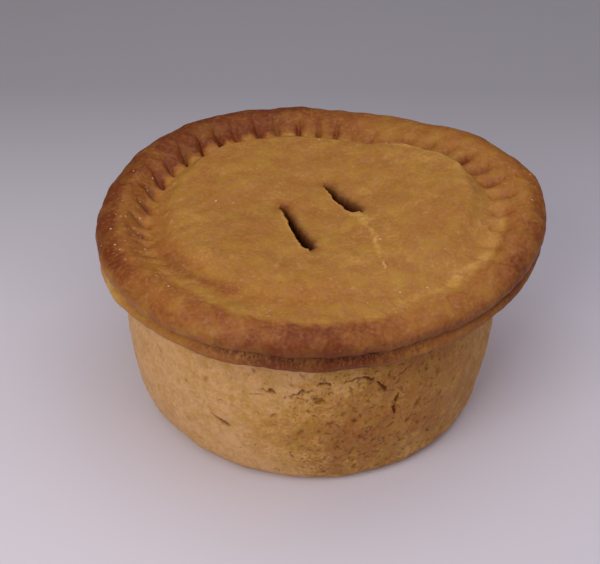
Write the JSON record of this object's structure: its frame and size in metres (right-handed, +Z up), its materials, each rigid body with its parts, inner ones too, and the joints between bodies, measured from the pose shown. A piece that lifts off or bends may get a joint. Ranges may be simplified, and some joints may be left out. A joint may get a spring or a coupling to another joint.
{
  "type": "pork pie",
  "caption": "Whole raised meat pie: barrel-shaped crust case, crimped rolled rim and swollen lid with steam vents.",
  "frame": {"origin": "on the table, under the middle of the pie's outline seen from above", "axes": "+Z up through the lid, -Y towards the side with the steepest view of the lid seam, +X to the wider end of the oval rim"},
  "size_m": [0.104, 0.098, 0.0528],
  "materials": {
    "crust": "satin"
  },
  "bodies": {
    "root": {"pork_pie": "crust"}
  },
  "joints": []
}
